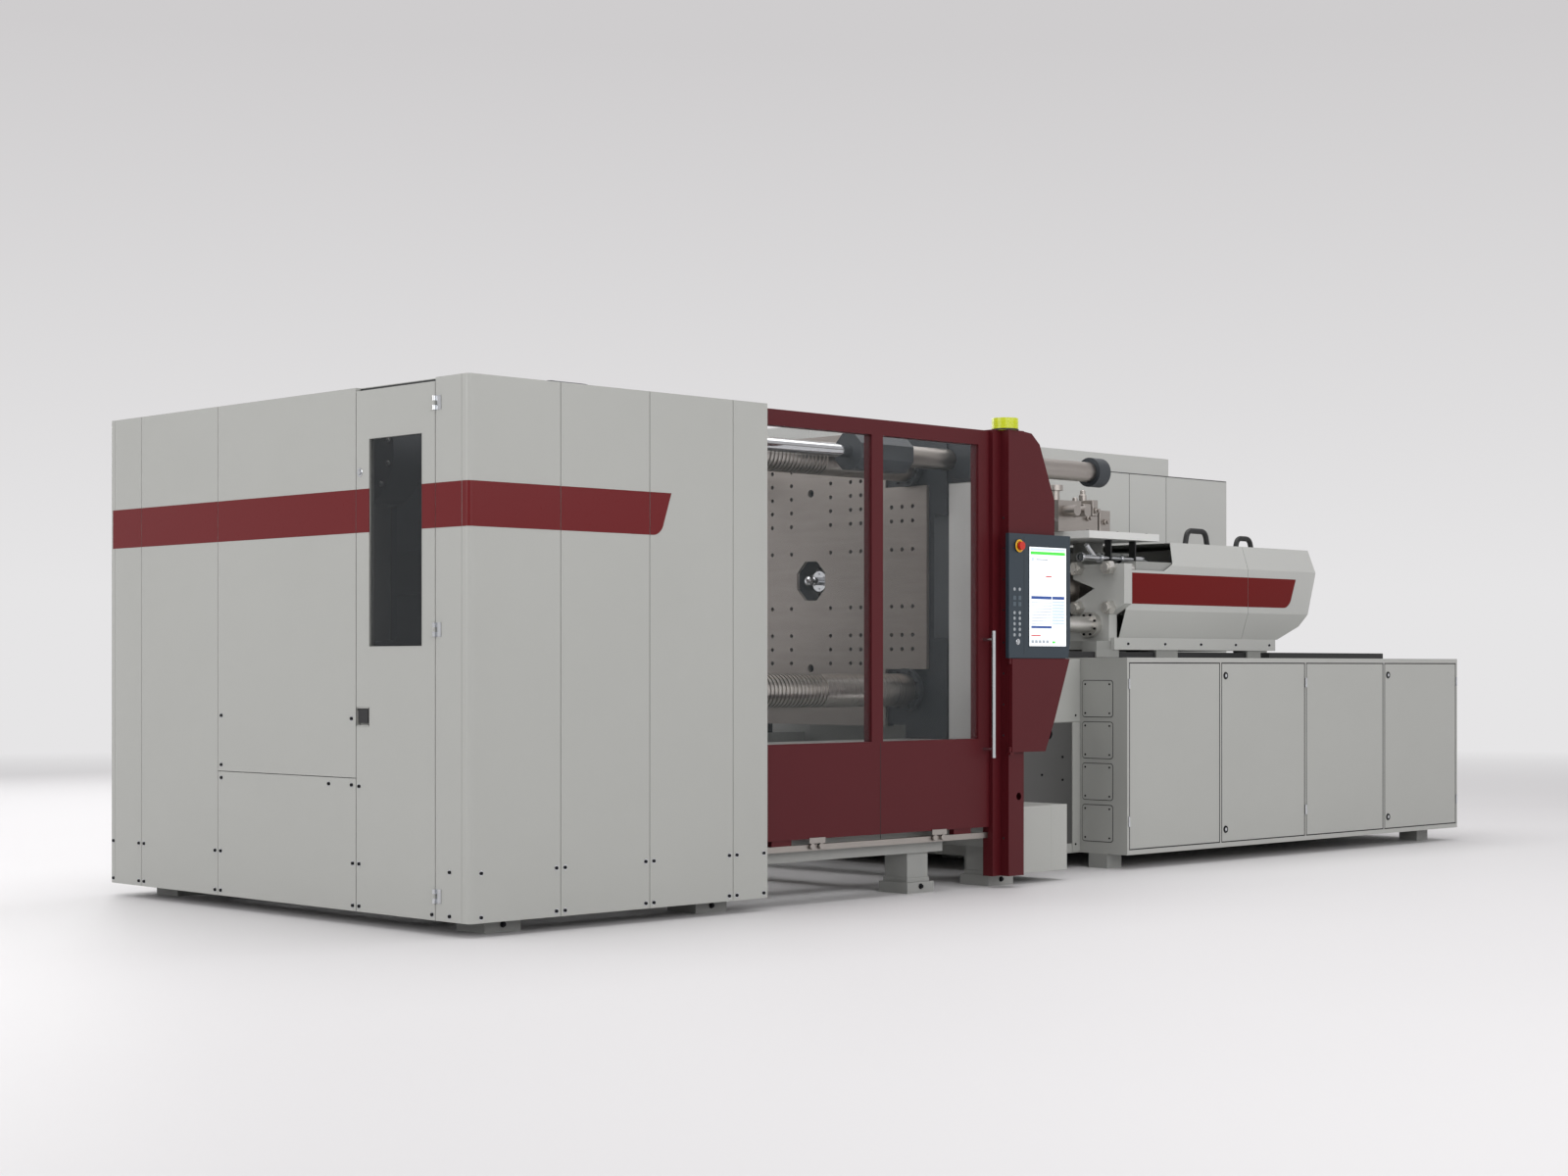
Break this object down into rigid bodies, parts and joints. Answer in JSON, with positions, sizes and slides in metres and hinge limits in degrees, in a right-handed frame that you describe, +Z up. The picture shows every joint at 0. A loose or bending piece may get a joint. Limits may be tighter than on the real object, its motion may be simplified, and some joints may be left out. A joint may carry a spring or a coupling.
{
  "type": "injection moulding machine",
  "caption": "Horizontal injection moulding machine with a guarded clamp housing, sliding gates, control column, hooded injection unit and rear electrical cabinet.",
  "frame": {"origin": "on the floor at the middle of the machine's footprint", "axes": "+X along the machine from the clamp end to the injection end, +Y from the operator's side to the rear, +Z up"},
  "size_m": [7.674, 2.755, 2.36],
  "materials": {
    "cast_paint": "satin",
    "steel": "ground",
    "dark_steel": "satin",
    "dark_paint": "satin",
    "chrome": "polished",
    "grey_paint": "satin",
    "light_paint": "satin",
    "smoked_glass": "gloss",
    "clear_glass": "gloss",
    "black_plastic": "matte",
    "red_paint": "satin",
    "slate_plastic": "matte",
    "screen_glass": "gloss",
    "stop_red": "gloss",
    "lamp_green": "gloss",
    "black_steel": "satin"
  },
  "bodies": {
    "machine": {"clamp_bed": "cast_paint", "levelling_feet": "cast_paint", "tie_bars": "steel", "tie_bar_nuts": "dark_steel", "fixed_platen": "dark_paint", "operator_panels": "grey_paint", "end_and_guard_panels": "grey_paint", "rear_and_roof_panels": "grey_paint", "housing_frame": "dark_paint", "door_hinges": "chrome", "gate_rails": "steel", "gate_posts": "red_paint", "post_fairing": "red_paint", "control_panel": "slate_plastic", "control_screen": "screen_glass", "beacon": "lamp_green", "injection_base": "grey_paint", "injection_rails": "black_steel", "fixed_cylinders": "chrome", "electrical_cabinet": "light_paint"},
    "clamp_unit": {"moving_platen": "dark_paint", "travel_rods": "chrome"},
    "lock_near": {"half_nuts_near": "steel"},
    "lock_rear": {"half_nuts_rear": "steel"},
    "ejector_plate": {"ejector": "steel"},
    "front_gate": {"operator_gate": "red_paint", "operator_gate_windows": "clear_glass", "operator_gate_handle": "chrome"},
    "back_gate": {"rear_gate": "red_paint", "rear_gate_windows": "clear_glass"},
    "service_door": {"end_door": "grey_paint", "end_door_window": "smoked_glass"},
    "service_latch": {"door_latch": "black_plastic"},
    "service_lock": {"door_lock": "chrome"},
    "hatch": {"control_hatch": "red_paint"},
    "stop_button": {"emergency_stop": "stop_red"},
    "mode_key": {"key_switch": "chrome"},
    "injection_unit": {"injection_saddle": "cast_paint", "injection_front_plate": "light_paint", "unit_rods": "steel", "barrel": "steel", "barrel_cover": "chrome", "feed_block": "cast_paint", "hood_shell": "grey_paint", "hopper_deck": "light_paint", "valve_block": "steel"},
    "drive": {"injection_drive": "light_paint"},
    "plasticising_screw": {"screw": "steel"},
    "front_lid": {"hood_front_lid": "grey_paint"},
    "rear_lid": {"hood_rear_lid": "grey_paint"},
    "base_door_1": {"base_door_1": "grey_paint"},
    "turn_lock_1": {"quarter_turn_lock_1": "chrome"},
    "base_door_2": {"base_door_2": "grey_paint"},
    "turn_lock_2": {"quarter_turn_lock_2": "chrome"},
    "base_door_3": {"base_door_3": "grey_paint"},
    "turn_lock_3": {"quarter_turn_lock_3": "chrome"},
    "base_door_4": {"base_door_4": "grey_paint"},
    "turn_lock_4": {"quarter_turn_lock_4": "chrome"},
    "cabinet_door_1": {"electrical_door_1": "light_paint"},
    "cabinet_door_2": {"electrical_door_2": "light_paint"}
  },
  "joints": [
    {"name": "clamp_stroke", "type": "slide", "parent": "machine", "child": "clamp_unit", "axis": [1, 0, 0], "range_m": [0, 1.1]},
    {"name": "lock_near_slide", "type": "slide", "parent": "clamp_unit", "child": "lock_near", "axis": [0, 1, 0], "range_m": [0, 0.035]},
    {"name": "lock_rear_slide", "type": "slide", "parent": "clamp_unit", "child": "lock_rear", "axis": [0, -1, 0], "range_m": [0, 0.035]},
    {"name": "ejector_stroke", "type": "slide", "parent": "clamp_unit", "child": "ejector_plate", "axis": [1, 0, 0], "range_m": [0, 0.2]},
    {"name": "front_gate_slide", "type": "slide", "parent": "machine", "child": "front_gate", "axis": [-1, 0, 0], "range_m": [0, 1.4]},
    {"name": "back_gate_slide", "type": "slide", "parent": "machine", "child": "back_gate", "axis": [-1, 0, 0], "range_m": [0, 1.4]},
    {"name": "service_door_swing", "type": "hinge", "parent": "machine", "child": "service_door", "pos_m": [-3.83, -1.1025, 1.1], "axis": [0, 0, 1], "range_deg": [0, 110]},
    {"name": "latch_lift", "type": "hinge", "parent": "service_door", "child": "service_latch", "pos_m": [-3.818, -0.6215, 0.866], "axis": [0, 1, 0], "range_deg": [0, 30], "stiffness_Nm_per_rad": 0.05},
    {"name": "door_lock_turn", "type": "hinge", "parent": "service_door", "child": "service_lock", "pos_m": [-3.818, -0.6005, 1.823], "axis": [1, 0, 0], "range_deg": [0, 90]},
    {"name": "hatch_swing", "type": "hinge", "parent": "machine", "child": "hatch", "pos_m": [-0.666, -1.3445, 0.86], "axis": [0, 0, -1], "range_deg": [0, 100]},
    {"name": "stop_push", "type": "slide", "parent": "machine", "child": "stop_button", "axis": [0, 1, 0], "range_m": [0, 0.005], "stiffness_N_per_m": 800},
    {"name": "mode_key_turn", "type": "hinge", "parent": "machine", "child": "mode_key", "pos_m": [-0.618, -1.3525, 1.16], "axis": [0, 1, 0], "range_deg": [0, 90]},
    {"name": "carriage_stroke", "type": "slide", "parent": "machine", "child": "injection_unit", "axis": [1, 0, 0], "range_m": [0, 0.35]},
    {"name": "injection_stroke", "type": "slide", "parent": "injection_unit", "child": "drive", "axis": [1, 0, 0], "range_m": [0, 0.3]},
    {"name": "screw_turn", "type": "hinge", "parent": "drive", "child": "plasticising_screw", "pos_m": [1.177, 0.0225, 1.479], "axis": [1, 0, 0], "continuous": true},
    {"name": "front_lid_lift", "type": "hinge", "parent": "injection_unit", "child": "front_lid", "pos_m": [2.077, 0.463, 1.7502], "axis": [-1, 0, 0], "range_deg": [0, 80]},
    {"name": "rear_lid_lift", "type": "hinge", "parent": "injection_unit", "child": "rear_lid", "pos_m": [2.877, 0.463, 1.7502], "axis": [-1, 0, 0], "range_deg": [0, 80]},
    {"name": "base_door_1_swing", "type": "hinge", "parent": "machine", "child": "base_door_1", "pos_m": [0.626, -1.0565, 0.58], "axis": [0, 0, -1], "range_deg": [0, 90]},
    {"name": "base_door_2_swing", "type": "hinge", "parent": "machine", "child": "base_door_2", "pos_m": [2.198, -1.0565, 0.58], "axis": [0, 0, 1], "range_deg": [0, 90]},
    {"name": "turn_lock_1_turn", "type": "hinge", "parent": "base_door_2", "child": "turn_lock_1", "pos_m": [1.457, -1.0625, 0.17], "axis": [0, 1, 0], "range_deg": [0, 90]},
    {"name": "turn_lock_2_turn", "type": "hinge", "parent": "base_door_2", "child": "turn_lock_2", "pos_m": [1.457, -1.0625, 0.995], "axis": [0, 1, 0], "range_deg": [0, 90]},
    {"name": "base_door_3_swing", "type": "hinge", "parent": "machine", "child": "base_door_3", "pos_m": [2.236, -1.0565, 0.58], "axis": [0, 0, -1], "range_deg": [0, 90]},
    {"name": "base_door_4_swing", "type": "hinge", "parent": "machine", "child": "base_door_4", "pos_m": [3.808, -1.0565, 0.58], "axis": [0, 0, 1], "range_deg": [0, 90]},
    {"name": "turn_lock_3_turn", "type": "hinge", "parent": "base_door_4", "child": "turn_lock_3", "pos_m": [3.067, -1.0625, 0.17], "axis": [0, 1, 0], "range_deg": [0, 90]},
    {"name": "turn_lock_4_turn", "type": "hinge", "parent": "base_door_4", "child": "turn_lock_4", "pos_m": [3.067, -1.0625, 0.995], "axis": [0, 1, 0], "range_deg": [0, 90]},
    {"name": "cabinet_door_1_swing", "type": "hinge", "parent": "machine", "child": "cabinet_door_1", "pos_m": [0.283, 1.2655, 1.175], "axis": [0, 0, 1], "range_deg": [0, 100]},
    {"name": "cabinet_door_2_swing", "type": "hinge", "parent": "machine", "child": "cabinet_door_2", "pos_m": [2.468, 1.2655, 1.175], "axis": [0, 0, -1], "range_deg": [0, 100]}
  ],
  "couplings": [
    {"joint": "lock_rear_slide", "follows": "lock_near_slide", "ratio": 1}
  ]
}
